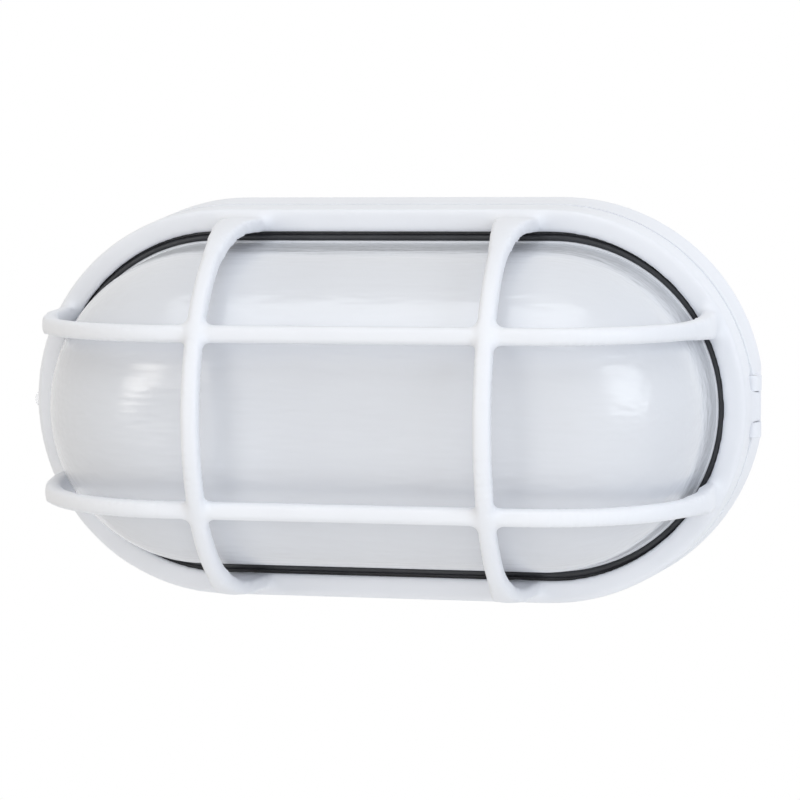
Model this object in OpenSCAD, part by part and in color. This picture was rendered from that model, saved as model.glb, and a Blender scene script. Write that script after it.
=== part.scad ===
// Oval caged bulkhead light for a wall, with a hinged guard, a frosted glass dome and one lamp.
// Sub-parts are drawn with x along the light, y up and z out of the wall, then turned so that
// the finished light has +Z up and faces -Y, with its origin at the middle of its back face.

/* [Body] */
// Half of the straight run between the two round ends
core_half = 47; // [44:0.5:52]
// Outer radius of the oval at the wall
back_r = 58; // [54:0.25:64]
// Amount by which the oval narrows from the wall to the front of the ring
draft = 2.7; // [1.5:0.1:3.5]
// Distance from the wall to the joint between base and ring
base_depth = 18; // [17:0.25:19]
// Depth of the ring from the joint to its front face
ring_depth = 13.7; // [13:0.1:16]
// Gap between the base and the ring when the light is shut
joint_gap = 0.3; // [0.2:0.05:0.6]
// Wall thickness of the base casting
base_wall = 3.2; // [2.4:0.1:4]
// Thickness of the floor of the base
floor_t = 3; // [2.5:0.25:4]
// Depth of the flat at the hinge end of the base
flat_in = 0.9; // [0.5:0.1:1.2]

/* [Guard] */
// Thickness of the skirt of the ring outside the seal
skirt_t = 4.2; // [3.6:0.1:5]
// Thickness of the lip that holds the gasket
lip_t = 2.4; // [2:0.1:3.2]
// Width of the gap between the glass and the opening in the ring
reveal = 2.9; // [2:0.1:3.5]
// Rounding of the front outer edge of the ring
edge_r = 0.8; // [0.5:0.1:1.5]
// Width of a bar
bar_w = 4.7; // [4:0.1:6]
// Thickness of a bar towards the glass
bar_t = 4.8; // [4.2:0.2:5.2]
// Rounding along the edges of a bar
bar_edge_r = 1.3; // [1:0.1:1.9]
// Distance of the middle of a bar outside the opening in the ring
bar_out = 1.6; // [1.2:0.1:3]
// Height of the upright bars over the top of the glass
bar_over = 13; // [11:0.5:18]
// Distance of the upright bars from the middle
bar_x = 39; // [30:0.5:42]
// Distance of the level bars from the middle
bar_z = 23.6; // [20:0.2:27]
// Amount by which the level bars lie below the upright bars
bar_step = 1; // [0.6:0.1:1.2]
// Width of an upright bar where it meets the ring
foot_w = 12.4; // [9:0.2:14]
// Width of a level bar where it meets the ring
level_foot_w = 8; // [6:0.2:9]
// Height over the ring at which a bar has narrowed to its full run
flare_h = 48; // [36:1:50]
// Radius of the fillet outside the foot of an upright bar
fillet_r = 1.5; // [1:0.1:1.6]

/* [Glass] */
// Amount by which each end of the dome reaches past the flange towards the ring
dome_run = 1.2; // [0.5:0.1:1.4]
// Gap between the lamp bulb and the top of the glass
lamp_gap = 6; // [4:0.5:8]
// Amount by which the glass narrows below its shoulder
glass_taper = 1.9; // [1.5:0.1:3]
// Radius of the rounded shoulder of the glass
shoulder_r = 36; // [33:0.5:38]
// Wall thickness of the glass
glass_t = 3; // [2.5:0.25:3.5]
// Width of the flange of the glass
flange_w = 3.2; // [2.8:0.1:4]
// Thickness of the flange of the glass
flange_t = 4; // [3:0.25:4.25]
// Thickness of the front lip of the gasket
gasket_front_t = 1.8; // [1.4:0.1:2.2]
// Thickness of the back lip of the gasket
gasket_back_t = 2; // [1.5:0.1:2.2]
// Thickness of the outer wall of the gasket
gasket_web_t = 1.6; // [1.2:0.1:1.7]
// Gap between the gasket and the pieces round it
seal_gap = 0.1; // [0.05:0.05:0.2]

/* [Hinge and screw] */
// Distance of the hinge pin inside the joint line of the base
hinge_in = 0.6; // [0.4:0.1:0.8]
// Radius of the hinge barrel
barrel_r = 2.6; // [2.4:0.1:2.8]
// Radius of the hinge pin
pin_r = 1.3; // [1:0.1:1.5]
// Running clearance of the knuckle on the pin
pin_clear = 0.06; // [0.04:0.01:0.1]
// Length of the middle knuckle
knuckle_l = 8.4; // [7:0.2:10]
// Length of each ear on the base
ear_l = 4.2; // [3.5:0.1:5]
// Gap between the knuckle and the ears
ear_gap = 0.2; // [0.15:0.05:0.4]
// Gap round the hinge barrel
barrel_gap = 0.4; // [0.3:0.05:0.5]
// Distance of the closing screw inside the outer edge at the wall
screw_in = 3.1; // [2.9:0.1:3.3]
// Radius of the lug at the closing screw
lug_r = 5.6; // [5.2:0.1:6]
// Distance by which the lug stands out past the edge at the wall
lug_out = 0.3; // [0.2:0.1:0.8]
// Height of the seat of the thumb wheel over the joint
lug_h = 6; // [5:0.25:7]
// Radius of the shank of the closing screw
screw_r = 1.6; // [1.4:0.1:1.7]
// Running clearance of the closing screw in the lug
screw_clear = 0.08; // [0.05:0.01:0.1]
// Length of the closing screw in the base
screw_reach = 10; // [7:0.5:11]
// Radius of the thumb wheel of the closing screw
screw_head_r = 2.7; // [2.5:0.1:2.8]
// Height of the thumb wheel of the closing screw
screw_head_h = 3; // [2.4:0.1:3.4]

/* [Lamp] */
// Radius of the lamp bulb
bulb_r = 30; // [27:0.5:32]
// Gap between the lamp bulb and the floor of the base
lamp_room = 7; // [6.5:0.25:8]
// Distance from the middle of the bulb to the mouth of the lampholder
bulb_reach = 52; // [50:0.5:54]
// Radius of the lamp cap
cap_r = 13; // [12.6:0.1:13.2]
// Outer radius of the lampholder
holder_r = 21.5; // [20:0.25:22]
// Depth of the socket in the lampholder
socket_l = 30; // [28:0.5:31]
// Thickness of the lampholder behind its socket
holder_back_t = 12; // [11:0.5:14]
// Thickness of the screw shell
shell_t = 0.8; // [0.6:0.1:1]
// Clearance between cap, shell and socket
socket_gap = 0.3; // [0.2:0.05:0.4]
// Thickness of the bracket
bracket_t = 2; // [1.5:0.25:2.5]
// Width of the bracket
bracket_w = 20; // [18:0.5:21]
// Length of the foot of the bracket
bracket_foot = 13; // [12:0.25:14]
// Gap between the foot of the bracket and the inner wall of the base
foot_gap = 2.5; // [2.25:0.25:4]
// Radius of the round top of the bracket
bracket_head_r = 16; // [15:0.5:18]
// Distance of the lampholder screws from the lamp axis
holder_pitch = 11; // [9:0.5:12]

/* [Wiring] */
// Distance from the middle of the terminal block to the inner wall of the base
block_room = 21.5; // [20:0.5:23]
// Distance between the poles of the terminal block
pole_pitch = 11; // [10.5:0.25:12]
// Distance from an outer pole to the end of the terminal block
block_end = 6; // [5.5:0.25:7]
// Width of the terminal block
block_w = 18; // [17:0.5:20]
// Height of the body of the terminal block
block_h = 9; // [8.5:0.25:9.5]
// Height of the turrets of the terminal block
turret_h = 14; // [13:0.5:16]
// Height of the pads inside the base
pad_h = 2; // [1.5:0.25:2.5]
// Radius of a lead
lead_r = 1.3; // [1:0.1:1.4]
// Bend radius of a lead
lead_bend = 6; // [5:0.25:7]
// Place of the cable entry along the light
entry_x = -42; // [-45:0.5:-36]
// Radius of the hole for the grommet
entry_r = 10; // [9:0.25:10.5]
// Radius of the cable hole in the grommet
cable_r = 4; // [3:0.25:5]
// Distance of the fixing holes from the middle along the light
fix_x = 68; // [62:0.5:70]
// Height of the fixing holes from the middle
fix_z = 27; // [25:0.5:29]
// Radius of a fixing hole
fix_r = 2.6; // [2.1:0.1:3]

/* [Hidden] */
$fn = 64;
cut = 1;

// Heights of the sealing stack over the wall
ring_z = base_depth + joint_gap;
body_depth = ring_z + ring_depth;
lip_z = body_depth - lip_t;
flange_top_z = lip_z - gasket_front_t;
flange_z = flange_top_z - flange_t;
gasket_z = flange_z - gasket_back_t;
rim_z = gasket_z - seal_gap;

// Radii of the sealing stack, from the outside in
front_r = back_r - draft;
joint_r = back_r - draft * base_depth / body_depth;
ring_step = 0.1;
ring_back_r = joint_r - ring_step;
pocket_r = front_r - skirt_t;
gasket_r = pocket_r - seal_gap;
flange_r = gasket_r - gasket_web_t - seal_gap;
glass_r = flange_r - flange_w;
gasket_front_r = glass_r + 2 * seal_gap;
gasket_back_r = glass_r - glass_t / 2;
opening_r = glass_r + reveal;
rim_gap = 0.6;
rim_r = pocket_r - rim_gap;
rim_w = 4;
tub_r = rim_r - rim_w;
deck_t = 3.5;

// Height of the lamp axis and of the top of the glass
lamp_axis = floor_t + lamp_room + bulb_r;
glass_top_z = lamp_axis + bulb_r + lamp_gap + glass_t;

// Arches of the guard
arch_r = opening_r + bar_out;
arch_z = glass_top_z + bar_over - arch_r;
level_r = sqrt(arch_r * arch_r - bar_z * bar_z) - bar_step;
root_t = 1;
web_step_in = 0.7;
web_step_out = 0.2;
web_t = bar_t - web_step_in - web_step_out;
flare_sink = 1;
flare_tip = bar_w / 2 - flare_sink;

// Glass dome
dome_half = core_half + dome_run;
glass_top_r = glass_r - glass_taper;
shoulder_z = glass_top_z - shoulder_r;
crown_r = glass_top_r - shoulder_r;

// Hinge
hinge_x = core_half + joint_r - hinge_in;
hinge_z = base_depth;
hinge_half = knuckle_l / 2 + ear_gap + ear_l;
relief_gap = 0.3;
relief_half = hinge_half + relief_gap;
ear_drop = 10.8;
ear_turn = 17;
web_sink = 1;
web_h = 6.2;
web_in = 1.3;
web_turn = 51;

// Closing screw
screw_x = -(core_half + back_r - screw_in);
lug_x = -(core_half + back_r + lug_out - lug_r);
seat_z = ring_z + lug_h;
head_gap = 0.25;
flute_count = 20;
flute_r = 0.35;
flute_out = 0.1;
thread_depth = 0.35;
thread_r = screw_r - thread_depth;
thread_gap = 0.5;
thread_room = 1;
slot_w = 0.9;
slot_h = 1.3;
retainer_w = 1;
retainer_r = screw_r + retainer_w;
retainer_t = 1;
retainer_in = 0.4;
retainer_gap = 0.2;
retainer_z = ring_z + retainer_in;

// Lamp and lampholder
holder_x = core_half + tub_r - foot_gap - bracket_foot - bracket_t;
holder_l = socket_l + holder_back_t;
mouth_x = holder_x - holder_l;
bulb_x = mouth_x - bulb_reach;
shell_in_r = cap_r + socket_gap;
shell_r = shell_in_r + shell_t;
socket_r = shell_r + socket_gap;
socket_floor_x = mouth_x + socket_l;
contact_t = 1.2;
contact_r = 5;
cap_end_x = socket_floor_x - contact_t;
cap_l = 25;
cap_tip_r = 4;
cap_tip_l = 1.5;
cap_nose_r = 6;
cap_nose_l = 5;
collar_w = 1.2;
collar_l = 3;
collar_step = 1;
neck_r = cap_r + collar_w;
neck_x = cap_end_x - cap_l;
shell_gap = 1;
shell_x = neck_x + collar_l + shell_gap;
mouth_wall = 4.5;
mouth_r = holder_r - mouth_wall;
mouth_l = 6;
holder_step = 2;

// Bracket
bracket_z = floor_t + pad_h;
holder_screw_r = 1.5;
holder_screw_l = 6;
holder_screw_room = 2;
bracket_shift = 0.8;
bracket_screw_x = holder_x + bracket_t + bracket_foot / 2 + bracket_shift;
bracket_edge = 4;
bracket_screw_y = bracket_w / 2 - bracket_edge;
bracket_screw_r = 1.9;
bracket_pad_w = 1.9;
hole_gap = 0.15;
pan_h = 2.2;
pan_extra = 1.4;
skin = 1;
sink = floor_t + pad_h - skin;

// Terminal block
block_x = -(core_half + tub_r - block_room);
block_l = 2 * (pole_pitch + block_end);
block_z = floor_t + pad_h;
block_margin = 1;
tunnel_z = block_z + block_h / 2;
turret_x = block_w / 4;
turret_r = 3.8;
turret_hole_r = 2.1;
lead_gap = 0.3;
sleeve_r = 2.5;
sleeve_in_r = lead_r + lead_gap;
sleeve_gap = 0.1;
sleeve_in = 1;
sleeve_l = block_w - 2 * sleeve_in;
clamp_r = 1.5;
clamp_head_r = 1.9;
clamp_in = 2;
clamp_l = turret_h - block_h / 2 - clamp_in;
clamp_gap = 0.1;
clamp_head_gap = 0.6;
fixing_r = 1.4;

// Leads
lead_in = 2;
lead_start_x = block_x + lead_in;
lead_back = 7;
lead_end_x = holder_x - lead_back;
lead_sink = 2.5;
lead_top_z = lamp_axis - sqrt(holder_r * holder_r - pole_pitch * pole_pitch) + lead_sink;
lead_hole_r = lead_r + lead_gap;

// Earth screw and cable entry
earth_x = -50;
earth_y = -30;
earth_pad_r = 5;
earth_r = 1.9;
earth_washer_r = 4.4;
earth_washer_t = 1;
grommet_lip = 3;
grommet_flange_r = entry_r + grommet_lip;
grommet_flange_t = 2;
grommet_in = 0.3;
fix_pad_r = 5.5;

// Turns a piece from its drawing position to the wall
module on_wall() {
    rotate([90, 0, 0]) children();
}

// Carries a flat profile of radius and height once round an oval with a given half run
module oval(half = core_half) {
    for (side = [1, -1]) {
        translate([side * half, 0, 0])
            rotate([0, 0, -90 * side])
                rotate_extrude(angle = 180) children();
        mirror([0, side > 0 ? 0 : 1, 0])
            rotate([90, 0, 90])
                linear_extrude(height = 2 * half, center = true) children();
    }
}

// Turns a profile of radius and length about an axis that runs along the light
module along_x(x, y, z) {
    translate([x, y, z]) rotate([0, 90, 0]) rotate_extrude() children();
}

// Straight round bar along the light
module rod_x(x0, x1, y, z, r) {
    translate([x0, y, z]) rotate([0, 90, 0]) cylinder(h = x1 - x0, r = r);
}

// Upright round bar, centred on the level of the lamp
module rod_y(x, z, r, half) {
    translate([x, 0, z]) rotate([90, 0, 0]) cylinder(h = 2 * half, r = r, center = true);
}

// Screw along z with a pan head that sits at z
module pan_screw(r, z_seat, z_tip) {
    translate([0, 0, z_tip]) cylinder(h = z_seat - z_tip, r = r);
    difference() {
        translate([0, 0, z_seat]) cylinder(h = pan_h, r = r + pan_extra);
        translate([0, 0, z_seat + pan_h])
            cube([slot_w, 2 * (r + pan_extra) + cut, slot_h], center = true);
    }
}

// Rounded section of a bar, thickness along x and width along y
module bar_section() {
    square([bar_t - 2 * bar_edge_r, bar_w], center = true);
    square([bar_t, bar_w - 2 * bar_edge_r], center = true);
    for (sx = [1, -1], sy = [1, -1])
        translate([sx * (bar_t / 2 - bar_edge_r), sy * (bar_w / 2 - bar_edge_r)]) circle(r = bar_edge_r);
}

// Web that widens the end of a bar down to the ring, with the arch of the bar centred on z
module bar_flare(radius, foot) {
    inner = radius - bar_t / 2 + web_step_in;
    intersection() {
        union() {
            translate([0, 0, arch_z])
                rotate([90, 0, 0])
                    rotate_extrude(angle = 90) translate([inner, -foot / 2]) square([web_t, foot]);
            translate([inner, -foot / 2, body_depth - root_t])
                cube([web_t, foot, arch_z - body_depth + root_t]);
        }
        translate([0, 0, body_depth - root_t])
            rotate([90, 0, 90])
                linear_extrude(height = radius + bar_t)
                    polygon([[-foot / 2, 0], [foot / 2, 0], [flare_tip, flare_h], [-flare_tip, flare_h]]);
    }
}

// Fillet between the outside of an upright bar and the face of the ring
module bar_fillet() {
    translate([arch_r + bar_t / 2 - web_step_out, 0, body_depth])
        rotate([90, 0, 0])
            linear_extrude(height = foot_w, center = true)
                difference() {
                    translate([-root_t, -root_t]) square(root_t + fillet_r);
                    translate([fillet_r, fillet_r]) circle(r = fillet_r);
                }
}

// Straight root of a bar between the ring and its arch
module bar_root() {
    translate([0, 0, body_depth - root_t])
        linear_extrude(height = arch_z - body_depth + root_t) bar_section();
}

// Upright bar: half a circle on two straight roots
module upright_bar(x) {
    translate([x, 0, 0]) rotate([0, 0, 90]) {
        translate([0, 0, arch_z])
            rotate([90, 0, 0]) rotate_extrude(angle = 180) translate([arch_r, 0]) bar_section();
        for (side = [0, 1])
            mirror([side, 0, 0]) {
                translate([arch_r, 0, 0]) bar_root();
                bar_flare(arch_r, foot_w);
                bar_fillet();
            }
    }
}

// Level bar: a straight run with a quarter circle and a straight root at each end
module level_bar(y) {
    translate([0, y, arch_z + level_r])
        rotate([0, 90, 0]) linear_extrude(height = 2 * dome_half, center = true) bar_section();
    for (side = [0, 1])
        mirror([side, 0, 0])
            translate([dome_half, y, 0]) {
                translate([0, 0, arch_z])
                    rotate([90, 0, 0]) rotate_extrude(angle = 90) translate([level_r, 0]) bar_section();
                translate([level_r, 0, 0]) bar_root();
                bar_flare(level_r, level_foot_w);
            }
}

// Section of the ring: a lip in front and a skirt that hides the seal
module ring_section() {
    polygon([
        [pocket_r, ring_z], [ring_back_r, ring_z], [front_r, body_depth - edge_r],
        [front_r - edge_r, body_depth - edge_r], [front_r - edge_r, body_depth],
        [opening_r, body_depth], [opening_r, lip_z], [pocket_r, lip_z]
    ]);
    translate([front_r - edge_r, body_depth - edge_r]) circle(r = edge_r);
}

// Section of the glass, or of the space inside it, at a given inset, with its wall tangent to the shoulder
module glass_section(inset, foot_z) {
    foot_r = glass_r - inset;
    round_r = shoulder_r - inset;
    run = foot_r - crown_r;
    drop = shoulder_z - flange_top_z;
    touch = acos(round_r / sqrt(run * run + drop * drop)) - atan2(drop, run);
    touch_z = shoulder_z + round_r * sin(touch);
    polygon([
        [0, foot_z], [foot_r, foot_z], [foot_r, flange_top_z],
        [crown_r + round_r * cos(touch), touch_z], [0, touch_z]
    ]);
    intersection() {
        translate([crown_r, shoulder_z]) circle(r = round_r);
        translate([0, touch_z]) square([glass_r, shoulder_r]);
    }
    translate([0, touch_z]) square([crown_r, shoulder_z + round_r - touch_z]);
}

module base_outline() {
    oval() polygon([[0, 0], [back_r, 0], [joint_r, base_depth], [0, base_depth]]);
}

// Section of the base: floor, double wall with a groove open to the wall, and a sealing rim
module base_section() {
    polygon([
        [0, 0], [tub_r + base_wall, 0], [tub_r + base_wall, base_depth - deck_t],
        [joint_r - base_wall, base_depth - deck_t], [back_r - base_wall, 0], [back_r, 0],
        [joint_r, base_depth], [rim_r, base_depth], [rim_r, rim_z], [tub_r, rim_z],
        [tub_r, floor_t], [0, floor_t]
    ]);
}

module base_housing() {
    color("white") on_wall() difference() {
        union() {
            difference() {
                union() {
                    oval() base_section();
                    hinge_block();
                }
                translate([core_half + back_r - flat_in, -back_r, -cut])
                    cube([back_r, 2 * back_r, base_depth]);
            }
            translate([lug_x, 0, 0]) cylinder(h = base_depth, r = lug_r);
            for (side = [1, -1]) hinge_ear(side);
            for (sx = [1, -1], sy = [1, -1])
                translate([sx * fix_x, sy * fix_z, 0]) cylinder(h = floor_t + pad_h, r = fix_pad_r);
            for (sy = [1, -1])
                translate([bracket_screw_x, sy * bracket_screw_y, 0])
                    cylinder(h = bracket_z, r = bracket_screw_r + bracket_pad_w);
            translate([block_x - block_w / 2 - block_margin, -block_l / 2 - block_margin, 0])
                cube([block_w + 2 * block_margin, block_l + 2 * block_margin, block_z]);
            translate([earth_x, earth_y, 0]) cylinder(h = floor_t + pad_h, r = earth_pad_r);
        }
        translate([screw_x, 0, base_depth - screw_reach - thread_room])
            cylinder(h = screw_reach + thread_room + cut, r = thread_r + thread_gap);
        rod_y(hinge_x, hinge_z, barrel_r + barrel_gap, knuckle_l / 2 + ear_gap);
        rod_y(hinge_x, hinge_z, pin_r, hinge_half + 3 * cut);
        for (sx = [1, -1], sy = [1, -1])
            translate([sx * fix_x, sy * fix_z, -cut]) cylinder(h = floor_t + pad_h + 2 * cut, r = fix_r);
        for (sy = [1, -1])
            translate([bracket_screw_x, sy * bracket_screw_y, bracket_z - sink])
                cylinder(h = sink + cut, r = bracket_screw_r);
        for (sy = [1, -1])
            translate([block_x, sy * pole_pitch / 2, block_z - sink])
                cylinder(h = sink + cut, r = fixing_r);
        translate([earth_x, earth_y, floor_t + pad_h - sink]) cylinder(h = sink + cut, r = earth_r);
        translate([entry_x, 0, -cut]) cylinder(h = floor_t + 2 * cut, r = entry_r);
    }
}

// Solid end of the base behind the hinge
module hinge_block() {
    block_in = core_half + tub_r + base_wall / 2;
    intersection() {
        translate([block_in, -relief_half, 0]) cube([hinge_x - block_in, 2 * relief_half, base_depth]);
        base_outline();
    }
}

// One of the two ears that hold the hinge pin
module hinge_ear(side) {
    ear_y = side * (knuckle_l / 2 + ear_gap + ear_l / 2);
    root_x = core_half + joint_r - base_wall;
    ear_z = hinge_z - ear_drop;
    translate([0, ear_y, 0]) {
        rod_y(hinge_x, hinge_z, barrel_r, ear_l / 2);
        rotate([90, 0, 0])
            linear_extrude(height = ear_l, center = true)
                polygon([
                    [root_x, ear_z], [core_half + joint_r, ear_z],
                    [hinge_x + barrel_r * cos(ear_turn), hinge_z - barrel_r * sin(ear_turn)],
                    [hinge_x, hinge_z], [root_x, hinge_z]
                ]);
    }
}

module hinge_pin() {
    color("silver") on_wall() rod_y(hinge_x, hinge_z, pin_r, hinge_half);
}

// Middle knuckle of the hinge and its web to the ring
module guard_knuckle() {
    web_x = core_half + pocket_r + web_sink;
    rod_y(hinge_x, hinge_z, barrel_r, knuckle_l / 2);
    rotate([90, 0, 0])
        linear_extrude(height = knuckle_l, center = true)
            polygon([
                [web_x, ring_z], [hinge_x, ring_z],
                [hinge_x + barrel_r * cos(web_turn), hinge_z + barrel_r * sin(web_turn)],
                [hinge_x - web_in, hinge_z + web_h], [web_x, hinge_z + web_h]
            ]);
}

module guard() {
    color("white") on_wall() difference() {
        union() {
            difference() {
                union() {
                    oval() ring_section();
                    intersection() {
                        translate([lug_x, 0, ring_z]) cylinder(h = lug_h, r = lug_r);
                        translate([lug_x - lug_r, -lug_r, ring_z])
                            cube([2 * lug_r - (lug_x + lug_r + core_half + pocket_r), 2 * lug_r, lug_h]);
                    }
                }
                rod_y(hinge_x, hinge_z, barrel_r + barrel_gap, relief_half);
            }
            guard_knuckle();
            for (side = [1, -1]) {
                upright_bar(side * bar_x);
                level_bar(side * bar_z);
            }
        }
        rod_y(hinge_x, hinge_z, pin_r + pin_clear, knuckle_l);
        translate([screw_x, 0, seat_z]) cylinder(h = screw_head_h + head_gap, r = screw_head_r + head_gap);
        translate([screw_x, 0, ring_z - cut]) cylinder(h = lug_h + 2 * cut, r = screw_r + screw_clear);
        translate([screw_x, 0, ring_z - cut])
            cylinder(h = retainer_in + retainer_t + retainer_gap + cut, r = retainer_r + retainer_gap);
    }
}

module glass_dome() {
    color("gainsboro") on_wall() difference() {
        union() {
            oval(dome_half) glass_section(0, flange_z);
            oval() translate([0, flange_z]) square([flange_r, flange_t]);
        }
        oval(dome_half) glass_section(glass_t, flange_z - cut);
    }
}

module glass_gasket() {
    color("black") on_wall() difference() {
        oval() polygon([
            [gasket_back_r, gasket_z], [gasket_r, gasket_z], [gasket_r, lip_z], [gasket_back_r, lip_z],
            [gasket_back_r, flange_top_z], [flange_r + seal_gap, flange_top_z],
            [flange_r + seal_gap, flange_z], [gasket_back_r, flange_z]
        ]);
        oval(dome_half)
            translate([0, flange_top_z - cut]) square([gasket_front_r, gasket_front_t + 2 * cut]);
    }
}

module closing_screw() {
    color("silver") on_wall() translate([screw_x, 0, 0]) {
        translate([0, 0, base_depth - screw_reach])
            cylinder(h = retainer_z + retainer_t - base_depth + screw_reach, r = thread_r);
        translate([0, 0, retainer_z + retainer_t])
            cylinder(h = seat_z - retainer_z - retainer_t, r = screw_r);
        translate([0, 0, seat_z])
            linear_extrude(height = screw_head_h)
                difference() {
                    circle(r = screw_head_r);
                    for (turn = [0:360 / flute_count:359])
                        rotate(turn) translate([screw_head_r + flute_out, 0]) circle(r = flute_r);
                }
    }
}

module screw_retainer() {
    color("dimgray") on_wall() translate([screw_x, 0, retainer_z]) difference() {
        cylinder(h = retainer_t, r = retainer_r);
        translate([0, 0, -cut]) cylinder(h = retainer_t + 2 * cut, r = thread_r);
    }
}

module lampholder_body() {
    color("ivory") on_wall() difference() {
        along_x(mouth_x, 0, lamp_axis) polygon([
            [0, 0], [holder_r - holder_step, 0], [holder_r - holder_step, socket_l / 2],
            [holder_r, socket_l / 2 + holder_step],
            [holder_r, holder_l], [0, holder_l]
        ]);
        rod_x(mouth_x - cut, socket_floor_x, 0, lamp_axis, socket_r);
        rod_x(mouth_x - cut, mouth_x + mouth_l, 0, lamp_axis, mouth_r);
        for (side = [1, -1]) {
            rod_x(holder_x - holder_screw_l - holder_screw_room, holder_x + cut, side * holder_pitch,
                lamp_axis, holder_screw_r + hole_gap);
            translate([lead_end_x, side * pole_pitch, 0]) cylinder(h = lead_top_z, r = lead_hole_r);
        }
    }
}

module lampholder_shell() {
    color("goldenrod") on_wall() difference() {
        rod_x(shell_x, socket_floor_x, 0, lamp_axis, shell_r);
        rod_x(shell_x - cut, socket_floor_x + cut, 0, lamp_axis, shell_in_r);
    }
}

module lampholder_contact() {
    color("goldenrod") on_wall() rod_x(cap_end_x, socket_floor_x, 0, lamp_axis, contact_r);
}

module lampholder_bracket() {
    color("lightgray") on_wall() difference() {
        union() {
            translate([holder_x, -bracket_w / 2, bracket_z])
                cube([bracket_t, bracket_w, lamp_axis - bracket_z]);
            rod_x(holder_x, holder_x + bracket_t, 0, lamp_axis, bracket_head_r);
            translate([holder_x, -bracket_w / 2, bracket_z])
                cube([bracket_t + bracket_foot, bracket_w, bracket_t]);
        }
        for (side = [1, -1]) {
            rod_x(holder_x - cut, holder_x + bracket_t + cut, side * holder_pitch, lamp_axis,
                holder_screw_r + hole_gap);
            translate([bracket_screw_x, side * bracket_screw_y, bracket_z - cut])
                cylinder(h = bracket_t + 2 * cut, r = bracket_screw_r + hole_gap);
        }
    }
}

module holder_screws() {
    color("silver") on_wall()
        for (side = [1, -1])
            translate([holder_x + bracket_t, side * holder_pitch, lamp_axis])
                rotate([0, 90, 0]) pan_screw(holder_screw_r, 0, -bracket_t - holder_screw_l);
}

module bracket_screws() {
    color("silver") on_wall()
        for (side = [1, -1])
            translate([bracket_screw_x, side * bracket_screw_y, 0])
                pan_screw(bracket_screw_r, bracket_z + bracket_t, bracket_z - sink);
}

// Bulb with its neck drawn tangent to the sphere
module lamp_bulb() {
    run = neck_x - bulb_x;
    reach = sqrt(run * run + neck_r * neck_r);
    touch = atan2(neck_r, run) + acos(bulb_r / reach);
    color("white") on_wall() along_x(bulb_x, 0, lamp_axis) {
        intersection() {
            circle(r = bulb_r);
            translate([0, -bulb_r]) square([bulb_r, bulb_r + bulb_r * cos(touch)]);
        }
        polygon([[0, 0], [bulb_r * sin(touch), bulb_r * cos(touch)], [neck_r, run], [0, run]]);
    }
}

module lamp_cap() {
    color("silver") on_wall() along_x(neck_x, 0, lamp_axis) polygon([
        [0, 0], [neck_r, 0], [neck_r, collar_l - collar_step], [cap_r, collar_l],
        [cap_r, cap_l - cap_nose_l], [cap_nose_r, cap_l - cap_tip_l], [cap_tip_r, cap_l], [0, cap_l]
    ]);
}

module terminal_block() {
    color("whitesmoke") on_wall() difference() {
        union() {
            translate([block_x - block_w / 2, -block_l / 2, block_z]) cube([block_w, block_l, block_h]);
            for (pole = [-1:1], side = [1, -1])
                translate([block_x + side * turret_x, pole * pole_pitch, block_z])
                    cylinder(h = turret_h, r = turret_r);
        }
        for (pole = [-1:1]) {
            rod_x(block_x - block_w, block_x + block_w, pole * pole_pitch, tunnel_z, sleeve_r + sleeve_gap);
            for (side = [1, -1])
                translate([block_x + side * turret_x, pole * pole_pitch, tunnel_z])
                    cylinder(h = turret_h, r = turret_hole_r);
        }
        for (side = [1, -1])
            translate([block_x, side * pole_pitch / 2, block_z - cut])
                cylinder(h = turret_h, r = fixing_r + hole_gap);
    }
}

module terminal_sleeves() {
    color("goldenrod") on_wall()
        for (pole = [-1:1])
            difference() {
                rod_x(block_x - sleeve_l / 2, block_x + sleeve_l / 2, pole * pole_pitch, tunnel_z,
                    sleeve_r);
                rod_x(block_x - block_w, block_x + block_w, pole * pole_pitch, tunnel_z, sleeve_in_r);
                for (side = [1, -1])
                    translate([block_x + side * turret_x, pole * pole_pitch, tunnel_z])
                        cylinder(h = turret_h, r = clamp_r + hole_gap);
            }
}

module terminal_screws() {
    tip = lead_r + clamp_gap;
    color("silver") on_wall()
        for (pole = [-1:1], side = [1, -1])
            translate([block_x + side * turret_x, pole * pole_pitch, tunnel_z]) {
                translate([0, 0, tip]) cylinder(h = clamp_l - tip, r = clamp_r);
                difference() {
                    translate([0, 0, sleeve_r + clamp_head_gap])
                        cylinder(h = clamp_l - sleeve_r - clamp_head_gap, r = clamp_head_r);
                    translate([0, 0, clamp_l]) cube([2 * turret_r, slot_w, 2 * slot_h], center = true);
                }
            }
}

module terminal_fixings() {
    color("silver") on_wall()
        for (side = [1, -1])
            translate([block_x, side * pole_pitch / 2, 0])
                pan_screw(fixing_r, block_z + block_h, block_z - sink);
}

// One lead along the floor that turns up into the lampholder
module lead(side) {
    on_wall() translate([0, side * pole_pitch, 0]) {
        rod_x(lead_start_x, lead_end_x - lead_bend, 0, tunnel_z, lead_r);
        translate([lead_end_x - lead_bend, 0, tunnel_z + lead_bend])
            rotate([90, 0, 0])
                rotate([0, 0, -90]) rotate_extrude(angle = 90) translate([lead_bend, 0]) circle(r = lead_r);
        translate([lead_end_x, 0, tunnel_z + lead_bend])
            cylinder(h = lead_top_z - tunnel_z - lead_bend, r = lead_r);
    }
}

module live_lead() {
    color("saddlebrown") lead(1);
}

module neutral_lead() {
    color("royalblue") lead(-1);
}

module earth_screw() {
    seat = floor_t + pad_h + earth_washer_t;
    color("goldenrod") on_wall() translate([earth_x, earth_y, 0])
        pan_screw(earth_r, seat, floor_t + pad_h - sink);
}

module earth_washer() {
    color("goldenrod") on_wall() translate([earth_x, earth_y, floor_t + pad_h]) difference() {
        cylinder(h = earth_washer_t, r = earth_washer_r);
        translate([0, 0, -cut]) cylinder(h = earth_washer_t + 2 * cut, r = earth_r + hole_gap);
    }
}

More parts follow.
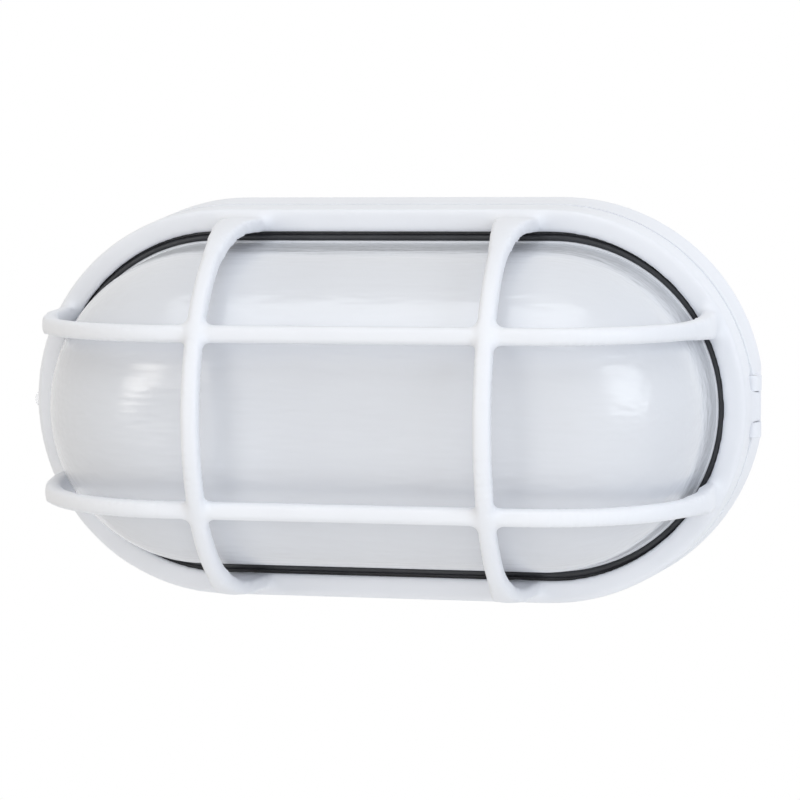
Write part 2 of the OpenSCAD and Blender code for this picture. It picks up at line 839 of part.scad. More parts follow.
module cable_grommet() {
    color("dimgray") on_wall() translate([entry_x, 0, 0]) difference() {
        union() {
            translate([0, 0, grommet_in]) cylinder(h = floor_t - grommet_in, r = entry_r);
            translate([0, 0, floor_t]) cylinder(h = grommet_flange_t, r = grommet_flange_r);
        }
        translate([0, 0, -cut]) cylinder(h = floor_t + grommet_flange_t + 2 * cut, r = cable_r);
    }
}

base_housing();
hinge_pin();
guard();
glass_dome();
glass_gasket();
closing_screw();
screw_retainer();
lampholder_body();
lampholder_shell();
lampholder_contact();
lampholder_bracket();
holder_screws();
bracket_screws();
lamp_bulb();
lamp_cap();
terminal_block();
terminal_sleeves();
terminal_screws();
terminal_fixings();
live_lead();
neutral_lead();
earth_screw();
earth_washer();
cable_grommet();
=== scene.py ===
"""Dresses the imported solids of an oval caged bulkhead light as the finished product."""

import logging
import math
from dataclasses import dataclass
from enum import Enum
from typing import Sequence

import bmesh
import bpy
from mathutils import Matrix, Vector


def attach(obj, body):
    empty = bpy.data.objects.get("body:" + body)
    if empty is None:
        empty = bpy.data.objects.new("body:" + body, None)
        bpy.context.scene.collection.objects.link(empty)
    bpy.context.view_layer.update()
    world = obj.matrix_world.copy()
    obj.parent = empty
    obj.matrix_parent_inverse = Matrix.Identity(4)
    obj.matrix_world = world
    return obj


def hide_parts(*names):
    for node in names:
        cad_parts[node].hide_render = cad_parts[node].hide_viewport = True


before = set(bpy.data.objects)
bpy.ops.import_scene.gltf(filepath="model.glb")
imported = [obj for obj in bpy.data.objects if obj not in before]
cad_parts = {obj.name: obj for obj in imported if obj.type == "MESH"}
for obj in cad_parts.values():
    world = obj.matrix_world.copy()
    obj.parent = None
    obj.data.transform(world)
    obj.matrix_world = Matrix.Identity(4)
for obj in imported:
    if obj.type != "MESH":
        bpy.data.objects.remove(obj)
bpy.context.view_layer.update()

LOG = logging.getLogger("bulkhead_light")
MM = 0.001
MERGE_GAP = 1e-6
SHARP = math.radians(50)
CLOUD_DETAIL = 3.0
GRAIN_DETAIL = 2.0
WAVE_DETAIL = 1.0

Colour = tuple[float, float, float]
Span = tuple[float, float]

PATTERN_SPAN: Span = (0.3, 0.7)


class Body(Enum):
    """Moving bodies of the light."""

    BASE = "base"
    GUARD = "guard"
    SCREW = "screw"


class Slot(Enum):
    """Material slots of the record that pieces take their finish from."""

    WHITE_PAINT = "white_paint"
    STEEL = "steel"
    DARK_STEEL = "dark_steel"
    FROSTED_GLASS = "frosted_glass"
    BLACK_RUBBER = "black_rubber"
    PORCELAIN = "porcelain"
    BRASS = "brass"
    ZINC_PLATE = "zinc_plate"
    OPAL_GLASS = "opal_glass"
    CAP_METAL = "cap_metal"
    TERMINAL_PLASTIC = "terminal_plastic"
    BROWN_SLEEVE = "brown_sleeve"
    BLUE_SLEEVE = "blue_sleeve"
    GREY_RUBBER = "grey_rubber"


def wall_point(x: float, y: float, z: float) -> Vector:
    """Turns a point of the drawing into the shared frame.

    Args:
        x: Millimetres along the light.
        y: Millimetres up.
        z: Millimetres out of the wall.

    Returns:
        The point in metres.
    """
    return Vector((x, -z, y)) * MM


def towards(azimuth: float, elevation: float) -> Vector:
    """Gives the direction from the light to a viewer.

    Args:
        azimuth: Degrees to the viewer's right of the front.
        elevation: Degrees above the horizon.

    Returns:
        The unit direction.
    """
    a, e = math.radians(azimuth), math.radians(elevation)
    return Vector((math.sin(a) * math.cos(e), -math.cos(a) * math.cos(e), math.sin(e)))


class NodeSheet:
    """Node tree of one material, with short calls that add and join nodes."""

    def __init__(self, name: str) -> None:
        """Starts a material that holds a Principled shader and its object coordinates.

        Args:
            name: Name of the material.
        """
        self.material = bpy.data.materials.new(name)
        self.material.use_nodes = True
        self.tree = self.material.node_tree
        self.tree.nodes.clear()
        self.shader = self.add("ShaderNodeBsdfPrincipled")
        output = self.add("ShaderNodeOutputMaterial")
        self.join(self.shader, "BSDF", output, "Surface")
        self.place = self.add("ShaderNodeTexCoord")

    def add(self, kind: str, **sockets: object) -> bpy.types.Node:
        """Adds a node and sets its input sockets.

        Args:
            kind: Blender's name of the node type.
            sockets: Socket values, with underscores for the spaces in a socket's name.

        Returns:
            The new node.
        """
        node = self.tree.nodes.new(kind)
        for key, value in sockets.items():
            node.inputs[key.replace("_", " ")].default_value = value
        return node

    def join(self, source: bpy.types.Node, out: str, target: bpy.types.Node, into: str) -> None:
        """Links one socket to another.

        Args:
            source: Node that gives the value.
            out: Name of its output socket.
            target: Node that takes the value.
            into: Name of its input socket.
        """
        self.tree.links.new(source.outputs[out], target.inputs[into])

    def noise(self, scale: float, detail: float, stretch: Colour = (1.0, 1.0, 1.0)) -> bpy.types.Node:
        """Adds a noise pattern on the object's own coordinates.

        Args:
            scale: Pattern size, in repeats per metre.
            detail: Number of finer layers.
            stretch: Factors on the coordinates, small where the pattern runs long.

        Returns:
            The noise node.
        """
        mapping = self.add("ShaderNodeMapping", Scale=stretch)
        noise = self.add("ShaderNodeTexNoise", Scale=scale, Detail=detail)
        self.join(self.place, "Object", mapping, "Vector")
        self.join(mapping, "Vector", noise, "Vector")
        return noise

    def tint(self, source: bpy.types.Node, low: Colour, high: Colour) -> None:
        """Colours the shader between two tones by a pattern.

        Args:
            source: Noise node that drives the colour.
            low: Colour at the pattern's low values.
            high: Colour at its high values.
        """
        ramp = self.tree.nodes.new("ShaderNodeValToRGB")
        first, last = ramp.color_ramp.elements
        first.position, last.position = PATTERN_SPAN
        first.color, last.color = (*low, 1.0), (*high, 1.0)
        self.join(source, "Fac", ramp, "Fac")
        self.join(ramp, "Color", self.shader, "Base Color")

    def gloss(self, source: bpy.types.Node, span: Span) -> None:
        """Varies the shader's roughness by a pattern.

        Args:
            source: Noise node that drives the roughness.
            span: Roughness at the pattern's low and high values.
        """
        low, high = PATTERN_SPAN
        least, most = span
        reach = self.add("ShaderNodeMapRange", From_Min=low, From_Max=high, To_Min=least, To_Max=most)
        self.join(source, "Fac", reach, "Value")
        self.join(reach, "Result", self.shader, "Roughness")

    def relief(self, layers: Sequence[tuple[bpy.types.Node, float]]) -> None:
        """Raises the surface by patterns, one on top of the other.

        Args:
            layers: Noise nodes with their heights in metres.
        """
        below = None
        for source, height in layers:
            bump = self.add("ShaderNodeBump", Strength=1.0, Distance=height)
            self.join(source, "Fac", bump, "Height")
            if below:
                self.join(below, "Normal", bump, "Normal")
            below = bump
        self.join(below, "Normal", self.shader, "Normal")


@dataclass(frozen=True)
class Finish:
    """Surface of one material: its two tones, gloss and fine relief.

    Attributes:
        slot: Slot of the record that it dresses.
        tone: Main colour.
        shade: Colour in the darker clouds.
        rough: Least and most roughness.
        cloud: Repeats of the colour pattern per metre.
        grain: Repeats of the fine relief per metre.
        depth: Height of the fine relief, in millimetres.
        stretch: Factors on the grain's coordinates.
        metallic: Share of metal.
        specular: Strength of the gloss.
        coat: Share of clear coat.
        coat_rough: Roughness of the coat.
        ior: Refraction of the surface.
        transmission: Share of light let through.
        wave: Repeats of the coarse relief per metre, or 0 for none.
        wave_depth: Height of the coarse relief, in millimetres.
        wave_stretch: Factors on the coarse relief's coordinates.
    """

    slot: Slot
    tone: Colour
    shade: Colour
    rough: Span
    cloud: float = 70.0
    grain: float = 900.0
    depth: float = 0.02
    stretch: Colour = (1.0, 1.0, 1.0)
    metallic: float = 0.0
    specular: float = 0.5
    coat: float = 0.0
    coat_rough: float = 0.1
    ior: float = 1.5
    transmission: float = 0.0
    wave: float = 0.0
    wave_depth: float = 0.0
    wave_stretch: Colour = (1.0, 1.0, 1.0)

    def material(self) -> bpy.types.Material:
        """Builds the finish as a procedural material.

        Returns:
            The material, made on the first call and shared after that.
        """
        name = f"{self.slot.value}_finish"
        made = bpy.data.materials.get(name)
        if made:
            return made
        sheet = NodeSheet(name)
        cloud = sheet.noise(self.cloud, CLOUD_DETAIL)
        grain = sheet.noise(self.grain, GRAIN_DETAIL, self.stretch)
        sheet.tint(cloud, self.shade, self.tone)
        sheet.gloss(grain, self.rough)
        layers = [(grain, self.depth * MM)]
        if self.wave:
            wave = sheet.noise(self.wave, WAVE_DETAIL, self.wave_stretch)
            layers.append((wave, self.wave_depth * MM))
        sheet.relief(layers)
        sockets = sheet.shader.inputs
        sockets["Metallic"].default_value = self.metallic
        sockets["Specular IOR Level"].default_value = self.specular
        sockets["Coat Weight"].default_value = self.coat
        sockets["Coat Roughness"].default_value = self.coat_rough
        sockets["IOR"].default_value = self.ior
        sockets["Transmission Weight"].default_value = self.transmission
        return sheet.material


WHITE_PAINT = Finish(
    Slot.WHITE_PAINT, (0.82, 0.84, 0.885), (0.8, 0.82, 0.865), (0.46, 0.56),
    cloud=45.0, grain=1100.0, depth=0.012,
    wave=260.0, wave_depth=0.02,
)
FROSTED_GLASS = Finish(
    Slot.FROSTED_GLASS, (0.735, 0.757, 0.802), (0.69, 0.71, 0.755), (0.18, 0.25),
    cloud=16.0, grain=500.0, depth=0.003,
    specular=0.8, transmission=0.05, wave=330.0, wave_depth=0.26, wave_stretch=(0.22, 1.0, 1.0),
)
BLACK_RUBBER = Finish(
    Slot.BLACK_RUBBER, (0.032, 0.034, 0.039), (0.02, 0.021, 0.025), (0.38, 0.55),
    cloud=120.0, grain=1600.0, depth=0.02,
)
STEEL = Finish(
    Slot.STEEL, (0.6, 0.61, 0.63), (0.5, 0.51, 0.53), (0.24, 0.4),
    cloud=260.0, grain=1500.0, depth=0.006,
    stretch=(1.0, 0.15, 1.0), metallic=1.0,
)
DARK_STEEL = Finish(
    Slot.DARK_STEEL, (0.2, 0.2, 0.215), (0.14, 0.14, 0.15), (0.3, 0.45),
    cloud=300.0, grain=1500.0, depth=0.006,
    metallic=1.0,
)
ZINC_PLATE = Finish(
    Slot.ZINC_PLATE, (0.64, 0.655, 0.68), (0.55, 0.56, 0.57), (0.22, 0.42),
    cloud=160.0, grain=700.0, depth=0.004,
    stretch=(1.0, 0.1, 1.0), metallic=1.0,
)
BRASS = Finish(
    Slot.BRASS, (0.76, 0.58, 0.26), (0.62, 0.44, 0.17), (0.22, 0.38),
    cloud=220.0, grain=1300.0, depth=0.005,
    metallic=1.0,
)
CAP_METAL = Finish(
    Slot.CAP_METAL, (0.74, 0.74, 0.75), (0.64, 0.64, 0.65), (0.25, 0.38),
    cloud=200.0, grain=1200.0, depth=0.005,
    stretch=(0.1, 1.0, 1.0), metallic=1.0,
)
PORCELAIN = Finish(
    Slot.PORCELAIN, (0.84, 0.825, 0.775), (0.79, 0.77, 0.71), (0.16, 0.24),
    cloud=90.0, grain=500.0, depth=0.006,
    coat=0.6, coat_rough=0.06, wave=140.0, wave_depth=0.03,
)
OPAL_GLASS = Finish(
    Slot.OPAL_GLASS, (0.88, 0.88, 0.86), (0.84, 0.84, 0.82), (0.12, 0.2),
    cloud=60.0, grain=800.0, depth=0.003,
    coat=0.4, coat_rough=0.05,
)
TERMINAL_PLASTIC = Finish(
    Slot.TERMINAL_PLASTIC, (0.78, 0.77, 0.72), (0.73, 0.72, 0.66), (0.4, 0.52),
    cloud=150.0, grain=1800.0, depth=0.008,
)
BROWN_SLEEVE = Finish(
    Slot.BROWN_SLEEVE, (0.16, 0.065, 0.028), (0.12, 0.048, 0.02), (0.34, 0.46),
    cloud=200.0, grain=1400.0, depth=0.008,
)
BLUE_SLEEVE = Finish(
    Slot.BLUE_SLEEVE, (0.04, 0.13, 0.42), (0.03, 0.1, 0.34), (0.34, 0.46),
    cloud=200.0, grain=1400.0, depth=0.008,
)
GREY_RUBBER = Finish(
    Slot.GREY_RUBBER, (0.06, 0.06, 0.064), (0.04, 0.04, 0.043), (0.5, 0.65),
    cloud=150.0, grain=1500.0, depth=0.02,
)


def add_piece(
    name: str, mesh: bpy.types.Mesh, finish: Finish, body: Body, *nodes: str
) -> bpy.types.Object:
    """Puts a finished mesh into the scene as a piece of the light.

    Args:
        name: Name of the piece.
        mesh: Its mesh, in the shared frame.
        finish: Its finish.
        body: Body that it moves with.
        nodes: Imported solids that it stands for.

    Returns:
        The new object.
    """
    mesh.name = name
    mesh.materials.clear()
    mesh.materials.append(finish.material())
    piece = bpy.data.objects.new(name, mesh)
    bpy.context.scene.collection.objects.link(piece)
    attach(piece, body.value)
    if nodes:
        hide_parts(*nodes)
    LOG.info("piece %s on %s, %d faces", name, body.value, len(mesh.polygons))
    return piece


def merged_copy(node: str) -> bmesh.types.BMesh:
    """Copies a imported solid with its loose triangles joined.

    Args:
        node: Name of the solid.

    Returns:
        The joined copy.
    """
    bm = bmesh.new()
    bm.from_mesh(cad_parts[node].data)
    bmesh.ops.remove_doubles(bm, verts=bm.verts[:], dist=MERGE_GAP)
    return bm


def to_mesh(bm: bmesh.types.BMesh, name: str) -> bpy.types.Mesh:
    """Writes a bmesh to a new mesh with smooth faces and frees it.

    Args:
        bm: Finished bmesh.
        name: Name of the mesh.

    Returns:
        The new mesh.
    """
    for face in bm.faces:
        face.smooth = True
    for edge in bm.edges:
        edge.smooth = edge.calc_face_angle(0.0) < SHARP
    mesh = bpy.data.meshes.new(name)
    bm.to_mesh(mesh)
    bm.free()
    return mesh


@dataclass
class GuardCasting:
    """Cast guard whose bars and ring run into each other with soft fillets.

    Attributes:
        node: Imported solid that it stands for.
        voxel: Width of the skin's faces, in millimetres.
        passes: Times that the whole skin is smoothed.
        pull: Share of the way that a point moves at one smoothing.
        rounds: Times that the inner corners are found anew.
        round_passes: Times that they are smoothed in one round.
        hollow: Least fold of an inner corner, in degrees.
        face: Height of the ring's front face, in millimetres.
        face_slack: How far behind that face a corner may lie, in millimetres.
        opening: Radius of the ring's opening, in millimetres.
        core_half: Half the straight run of the oval, in millimetres.
        root: How deep the bars reach into the ring, in millimetres.
        overhang: Furthest that a bar stands past the opening's edge, in millimetres.
        lean: Height over which a foot leans back to its bar, in millimetres.
    """

    node: str = "guard"
    voxel: float = 0.7
    passes: int = 4
    pull: float = 0.5
    rounds: int = 16
    round_passes: int = 4
    hollow: float = 3.5
    face: float = 32.0
    face_slack: float = 0.15
    opening: float = 49.0
    core_half: float = 47.0
    root: float = 1.3
    overhang: float = 2.0
    lean: float = 9.0

    def skin(self) -> bmesh.types.BMesh:
        """Covers the guard with one even skin.

        Returns:
            The skin, with its corners still as the solid has them.
        """
        blank = bpy.data.objects.new("guard_blank", to_mesh(merged_copy(self.node), "guard_blank"))
        bpy.context.scene.collection.objects.link(blank)
        remesh = blank.modifiers.new("skin", "REMESH")
        remesh.mode = "VOXEL"
        remesh.voxel_size = self.voxel * MM
        bm = bmesh.new()
        bm.from_object(blank, bpy.context.evaluated_depsgraph_get())
        bpy.data.objects.remove(blank)
        return bm

    def ease(self, bm: bmesh.types.BMesh, verts: Sequence[bmesh.types.BMVert], passes: int) -> None:
        """Smooths some points of the skin.

        Args:
            bm: Skin of the guard.
            verts: Points that move.
            passes: Number of times that they move.
        """
        for _ in range(passes):
            bmesh.ops.smooth_vert(
                bm, verts=verts, factor=self.pull, use_axis_x=True, use_axis_y=True, use_axis_z=True
            )

    def corners(self, bm: bmesh.types.BMesh) -> list[bmesh.types.BMVert]:
        """Finds the points that lie in an inner corner in front of the ring.

        Args:
            bm: Skin of the guard.

        Returns:
            The points at edges that fold inwards.
        """
        limit = -math.radians(self.hollow)
        front = -(self.face - self.face_slack) * MM
        ahead = (vert for vert in bm.verts if vert.co.y < front)
        return [
            vert for vert in ahead
            if any(edge.calc_face_angle_signed(0.0) < limit for edge in vert.link_edges)
        ]

    def draw_back(self, bm: bmesh.types.BMesh) -> None:
        """Draws the feet of the bars back to the edge of the ring's opening.

        Args:
            bm: Skin of the guard.
        """
        half = self.core_half * MM
        for vert in bm.verts:
            above = -vert.co.y / MM - self.face
            if not -self.root < above < self.lean:
                continue
            core = Vector((max(-half, min(half, vert.co.x)), vert.co.y, 0.0))
            out = vert.co - core
            short = self.opening * MM - out.length
            if 0.0 < short < self.overhang * MM:
                vert.co += out.normalized() * short * (1.0 - max(above, 0.0) / self.lean)

    def build(self) -> bpy.types.Object:
        """Rounds a copy of the guard as one casting, with fillets in its inner corners.

        Returns:
            The casting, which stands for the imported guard.
        """
        bm = self.skin()
        self.draw_back(bm)
        self.ease(bm, bm.verts[:], self.passes)
        for _ in range(self.rounds):
            bm.normal_update()
            self.ease(bm, self.corners(bm), self.round_passes)
        name = "guard_casting"
        return add_piece(name, to_mesh(bm, name), WHITE_PAINT, Body.GUARD, self.node)


@dataclass
class SoftSolid:
    """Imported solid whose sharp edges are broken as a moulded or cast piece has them.

    Attributes:
        node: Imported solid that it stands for.
        finish: Its finish.
        body: Body that it moves with.
        edge: Width of a broken edge, in millimetres.
        steps: Faces across a broken edge.
        crease: Least angle of an edge that is broken, in degrees.
        flat: Most angle between faces that are joined to one, in degrees.
    """

    node: str
    finish: Finish
    body: Body
    edge: float
    steps: int = 2
    crease: float = 32.0
    flat: float = 0.4

    def build(self) -> bpy.types.Object:
        """Rounds the edges of a copy of the solid.

        Returns:
            The rounded piece, which stands for the solid.
        """
        bm = merged_copy(self.node)
        bmesh.ops.dissolve_limit(
            bm, angle_limit=math.radians(self.flat), verts=bm.verts[:], edges=bm.edges[:]
        )
        limit = math.radians(self.crease)
        sharp = [edge for edge in bm.edges if edge.calc_face_angle(0.0) > limit]
        bmesh.ops.bevel(
            bm, geom=sharp, offset=self.edge * MM, offset_type="OFFSET", segments=self.steps, profile=0.5,
            affect="EDGES", clamp_overlap=True, material=-1,
        )
        name = f"{self.node}_soft"
        piece = add_piece(name, to_mesh(bm, name), self.finish, self.body, self.node)
        level = piece.modifiers.new("even_shading", "WEIGHTED_NORMAL")
        level.keep_sharp = True
        return piece


@dataclass
class ScrewThread:
    """Thread on the shank of the closing screw.

    Attributes:
        x: Place of the screw along the light, in millimetres.
        root_r: Radius at the foot of the ridge, in millimetres.
        crest_r: Radius at its crest, in millimetres.
        start: Height of the first turn, in millimetres.
        pitch: Rise of one turn, in millimetres.
        crest: Shares of the pitch at which the crest begins and ends.
        turns: Number of turns.
        steps: Faces round one turn.
    """

    x: float = -101.9
    root_r: float = 1.2
    crest_r: float = 1.55
    start: float = 8.4
    pitch: float = 0.7
    crest: Span = (0.45, 0.55)
    turns: int = 13
    steps: int = 28

    def build(self) -> bpy.types.Object:
        """Winds one ridge up the shank.

        Returns:
            The thread.
        """
        bm = bmesh.new()
        rise, fall = self.crest
        flank = ((self.root_r, 0.0), (self.crest_r, rise), (self.crest_r, fall), (self.root_r, 1.0))
        verts = [bm.verts.new(wall_point(self.x + r, 0, self.start + t * self.pitch)) for r, t in flank]
        edges = [bm.edges.new(pair) for pair in zip(verts, verts[1:])]
        count = self.turns * self.steps
        bmesh.ops.spin(
            bm, geom=verts + edges, cent=wall_point(self.x, 0, 0), axis=(0, -1, 0),
            dvec=wall_point(0, 0, self.pitch / self.steps), angle=2 * math.pi * self.turns, steps=count,
        )
        bmesh.ops.remove_doubles(bm, verts=bm.verts[:], dist=MERGE_GAP)
        bmesh.ops.recalc_face_normals(bm, faces=bm.faces[:])
        name = "closing_screw_thread"
        return add_piece(name, to_mesh(bm, name), STEEL, Body.SCREW)


@dataclass
class OvalBead:
    """Round bead that runs once round an oval.

    Attributes:
        name: Name of the piece.
        finish: Its finish.
        core_half: Half the straight run of the oval, in millimetres.
        radius: Radius of the oval's ends to the middle of the bead, in millimetres.
        height: Height of that middle, in millimetres.
        bead_r: Radius of the bead, in millimetres.
        sides: Faces round the bead.
        steps: Faces along one end of the oval.
    """

    name: str
    finish: Finish
    core_half: float
    radius: float
    height: float
    bead_r: float
    sides: int = 20
    steps: int = 64

    def build(self) -> bpy.types.Object:
        """Sweeps the bead once round the oval.

        Returns:
            The bead.
        """
        bm = bmesh.new()
        turn = Matrix.Rotation(math.pi / 2, 4, "Y")
        seat = Matrix.Translation(wall_point(self.core_half, self.radius, self.height))
        bmesh.ops.create_circle(bm, segments=self.sides, radius=self.bead_r * MM, matrix=seat @ turn)
        loop = bm.edges[:]
        for side in (1, -1):
            swept = bmesh.ops.spin(
                bm, geom=loop, cent=wall_point(side * self.core_half, 0, self.height), axis=(0, 1, 0),
                angle=math.pi, steps=self.steps,
            )
            loop = [item for item in swept["geom_last"] if isinstance(item, bmesh.types.BMEdge)]
            run = bmesh.ops.extrude_edge_only(bm, edges=loop)["geom"]
            moved = [item for item in run if isinstance(item, bmesh.types.BMVert)]
            bmesh.ops.translate(bm, verts=moved, vec=(-2 * side * self.core_half * MM, 0, 0))
            loop = [item for item in run if isinstance(item, bmesh.types.BMEdge)]
        bmesh.ops.remove_doubles(bm, verts=bm.verts[:], dist=MERGE_GAP)
        bmesh.ops.recalc_face_normals(bm, faces=bm.faces[:])
        return add_piece(self.name, to_mesh(bm, self.name), self.finish, Body.GUARD)


BEADS = (
    OvalBead("gasket_bead", BLACK_RUBBER, core_half=48.1, radius=47.3, height=29.4, bead_r=1.08),
    OvalBead("glass_foot_bead", FROSTED_GLASS, core_half=48.2, radius=45.85, height=29.9, bead_r=0.6),
)


@dataclass
class Fittings:
    """Sub-parts of the base, the lamp and the glass, softened or dressed as they are.

    Attributes:
        softened: Solids that a copy with broken edges stands for.
        dressed: Solids that stay and get a finish.
    """

    softened: Sequence[SoftSolid] = (
        SoftSolid("base_housing", WHITE_PAINT, Body.BASE, 0.45),
        SoftSolid("hinge_pin", STEEL, Body.BASE, 0.25),
        SoftSolid("closing_screw", STEEL, Body.SCREW, 0.12),
        SoftSolid("lampholder_body", PORCELAIN, Body.BASE, 0.8, steps=3),
        SoftSolid("lampholder_bracket", ZINC_PLATE, Body.BASE, 0.3),
        SoftSolid("holder_screws", STEEL, Body.BASE, 0.3),
        SoftSolid("bracket_screws", STEEL, Body.BASE, 0.3),
        SoftSolid("terminal_block", TERMINAL_PLASTIC, Body.BASE, 0.35),
        SoftSolid("terminal_screws", STEEL, Body.BASE, 0.12),
        SoftSolid("terminal_fixings", STEEL, Body.BASE, 0.3),
        SoftSolid("earth_screw", BRASS, Body.BASE, 0.3),
        SoftSolid("cable_grommet", GREY_RUBBER, Body.BASE, 0.5, steps=3),
    )
    dressed: Sequence[tuple[str, Finish]] = (
        ("glass_dome", FROSTED_GLASS),
        ("glass_gasket", BLACK_RUBBER),
        ("screw_retainer", DARK_STEEL),
        ("lampholder_shell", BRASS),
        ("lampholder_contact", BRASS),
        ("lamp_bulb", OPAL_GLASS),
        ("lamp_cap", CAP_METAL),
        ("terminal_sleeves", BRASS),
        ("live_lead", BROWN_SLEEVE),
        ("neutral_lead", BLUE_SLEEVE),
        ("earth_washer", BRASS),
    )

    def build(self) -> None:
        """Softens some solids and gives the others the material of their finish."""
        for solid in self.softened:
            solid.build()
        for node, finish in self.dressed:
            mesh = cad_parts[node].data
            mesh.materials.clear()
            mesh.materials.append(finish.material())
            LOG.info("solid %s dressed as %s", node, finish.slot.value)


@dataclass(frozen=True)
class Softbox:
    """Rectangular studio lamp that faces the light.

    Attributes:
        name: Name of the lamp.
        azimuth: Degrees to the viewer's right of the front.
        elevation: Degrees above the horizon.
        distance: Metres from the target.
        width: Metres across.
        height: Metres up.
        power: Watts.
        colour: Colour of its light.
        shine: Whether gloss shows it.
    """

    name: str
    azimuth: float
    elevation: float
    distance: float
    width: float
    height: float
    power: float
    colour: Colour
    shine: bool = False

    def build(self, target: Vector) -> None:
        """Places the lamp.

        Args:
            target: Point that it faces.
        """
        lamp = bpy.data.lights.new(self.name, "AREA")
        lamp.shape = "RECTANGLE"
        lamp.size, lamp.size_y = self.width, self.height
        lamp.energy = self.power
        lamp.color = self.colour
        holder = bpy.data.objects.new(self.name, lamp)
        holder.visible_glossy = self.shine
        bpy.context.scene.collection.objects.link(holder)
        back = towards(self.azimuth, self.elevation)
        holder.location = target + back * self.distance
        holder.rotation_euler = back.to_track_quat("Z", "Y").to_euler()


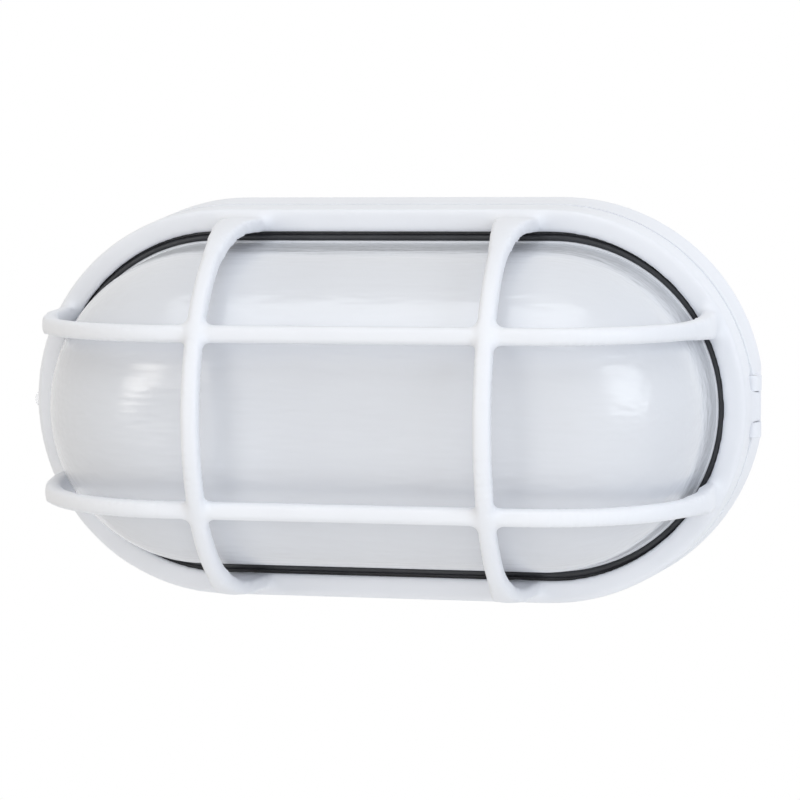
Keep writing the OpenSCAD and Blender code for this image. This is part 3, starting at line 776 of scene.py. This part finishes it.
@dataclass
class Studio:
    """Camera, lamps, white surroundings and floor.

    Attributes:
        target: Point that the camera and the lamps face.
        azimuth: Degrees of the camera to the right of the front.
        elevation: Degrees of the camera above the horizon.
        roll: Degrees that the camera is turned about its view.
        distance: Metres from the target to the camera.
        focal_px: Focal length in pixels of the photograph.
        image_px: Width of the photograph in pixels.
        sensor: Width of the camera's sensor, in millimetres.
        offset_px: Pixels by which the picture is shifted, to the left and down.
        ambient: Strength of the light from the surroundings.
        ambient_left: Their colour at the left.
        ambient_right: Their colour at the right.
        floor_z: Height of the floor, in metres.
        floor_r: Radius of the floor, in metres.
        floor_sides: Corners of the floor's outline.
        floor_colour: Colour of the floor.
        floor_rough: Roughness of the floor.
        lamps: Lamps round the light.
    """

    target: Vector = wall_point(0, 0, 32)
    azimuth: float = 12.0
    elevation: float = 5.56
    roll: float = -0.33
    distance: float = 0.757
    focal_px: float = 2680.0
    image_px: float = 800.0
    sensor: float = 36.0
    offset_px: Span = (18.2, 5.4)
    ambient: float = 0.92
    ambient_left: Colour = (0.59, 0.535, 0.455)
    ambient_right: Colour = (0.72, 0.745, 0.79)
    floor_z: float = -0.35
    floor_r: float = 0.6
    floor_sides: int = 96
    floor_colour: Colour = (0.86, 0.86, 0.86)
    floor_rough: float = 0.9
    lamps: Sequence[Softbox] = (
        Softbox("softbox_key", 2.0, 61.0, 1.0, 0.9, 0.6, 3.0, (0.92, 0.96, 1.0), shine=True),
        Softbox("softbox_right", 57.0, 14.0, 0.9, 0.48, 0.4, 1.45, (0.9, 0.95, 1.0), shine=True),
        Softbox("softbox_broad", 16.0, 10.0, 0.9, 0.5, 0.5, 0.42, (0.92, 0.96, 1.0)),
        Softbox("softbox_rim", 145.0, 12.0, 0.9, 0.4, 0.4, 1.9, (0.95, 0.97, 1.0)),
        Softbox("softbox_left", -29.0, 7.0, 1.0, 0.3, 0.28, 1.05, (1.0, 0.97, 0.92), shine=True),
        Softbox("softbox_end", -105.0, 6.0, 0.9, 0.4, 0.4, 0.6, (0.88, 0.94, 1.0)),
        Softbox("softbox_fill", 16.0, -36.0, 0.36, 0.3, 0.2, 0.15, (0.92, 0.96, 1.0)),
    )

    def camera(self) -> None:
        """Sets the camera at the photograph's viewing angle."""
        data = bpy.data.cameras.new("camera")
        data.sensor_fit = "HORIZONTAL"
        data.sensor_width = self.sensor
        data.lens = self.focal_px / self.image_px * self.sensor
        data.shift_x = self.offset_px[0] / self.image_px
        data.shift_y = self.offset_px[1] / self.image_px
        camera = bpy.data.objects.new("camera", data)
        bpy.context.scene.collection.objects.link(camera)
        back = towards(self.azimuth, self.elevation)
        camera.location = self.target + back * self.distance
        aim = (-back).to_track_quat("-Z", "Y").to_matrix().to_4x4()
        camera.rotation_euler = (aim @ Matrix.Rotation(math.radians(self.roll), 4, "Z")).to_euler()
        bpy.context.scene.camera = camera

    def surroundings(self) -> None:
        """Makes the world white to the eye and plain to the light."""
        world = bpy.data.worlds.new("surroundings")
        world.use_nodes = True
        bpy.context.scene.world = world
        nodes, links = world.node_tree.nodes, world.node_tree.links
        nodes.clear()
        seen = nodes.new("ShaderNodeBackground")
        seen.inputs["Color"].default_value = (1.0, 1.0, 1.0, 1.0)
        seen.inputs["Strength"].default_value = 1.0
        light = nodes.new("ShaderNodeBackground")
        light.inputs["Strength"].default_value = self.ambient
        place = nodes.new("ShaderNodeTexCoord")
        split = nodes.new("ShaderNodeSeparateXYZ")
        across = nodes.new("ShaderNodeMapRange")
        across.inputs["From Min"].default_value = -1.0
        ramp = nodes.new("ShaderNodeValToRGB")
        left, right = ramp.color_ramp.elements
        left.color, right.color = (*self.ambient_left, 1.0), (*self.ambient_right, 1.0)
        links.new(place.outputs["Generated"], split.inputs["Vector"])
        links.new(split.outputs["X"], across.inputs["Value"])
        links.new(across.outputs["Result"], ramp.inputs["Fac"])
        links.new(ramp.outputs["Color"], light.inputs["Color"])
        path = nodes.new("ShaderNodeLightPath")
        total = path.outputs["Is Camera Ray"]
        for kind in ("Is Glossy Ray", "Is Transmission Ray"):
            larger = nodes.new("ShaderNodeMath")
            larger.operation = "MAXIMUM"
            links.new(total, larger.inputs[0])
            links.new(path.outputs[kind], larger.inputs[1])
            total = larger.outputs["Value"]
        mix = nodes.new("ShaderNodeMixShader")
        links.new(total, mix.inputs["Fac"])
        links.new(light.outputs["Background"], mix.inputs[1])
        links.new(seen.outputs["Background"], mix.inputs[2])
        output = nodes.new("ShaderNodeOutputWorld")
        links.new(mix.outputs["Shader"], output.inputs["Surface"])

    def floor(self) -> None:
        """Lays a plain pale floor below the light."""
        bm = bmesh.new()
        place = Matrix.Translation((0, 0, self.floor_z))
        bmesh.ops.create_circle(
            bm, cap_ends=True, segments=self.floor_sides, radius=self.floor_r, matrix=place
        )
        floor = bpy.data.objects.new("floor", to_mesh(bm, "floor"))
        sheet = NodeSheet("floor")
        sheet.shader.inputs["Base Color"].default_value = (*self.floor_colour, 1.0)
        sheet.shader.inputs["Roughness"].default_value = self.floor_rough
        floor.data.materials.append(sheet.material)
        bpy.context.scene.collection.objects.link(floor)

    def build(self) -> None:
        """Sets up the whole studio."""
        bpy.context.scene.view_settings.view_transform = "Standard"
        self.camera()
        self.surroundings()
        self.floor()
        for lamp in self.lamps:
            lamp.build(self.target)


def main() -> None:
    """Sets up the studio, then builds the light in it piece by piece."""
    logging.basicConfig(level=logging.INFO)
    Studio().build()
    Fittings().build()
    GuardCasting().build()
    for bead in BEADS:
        bead.build()
    ScrewThread().build()


if __name__ == "__main__":
    main()
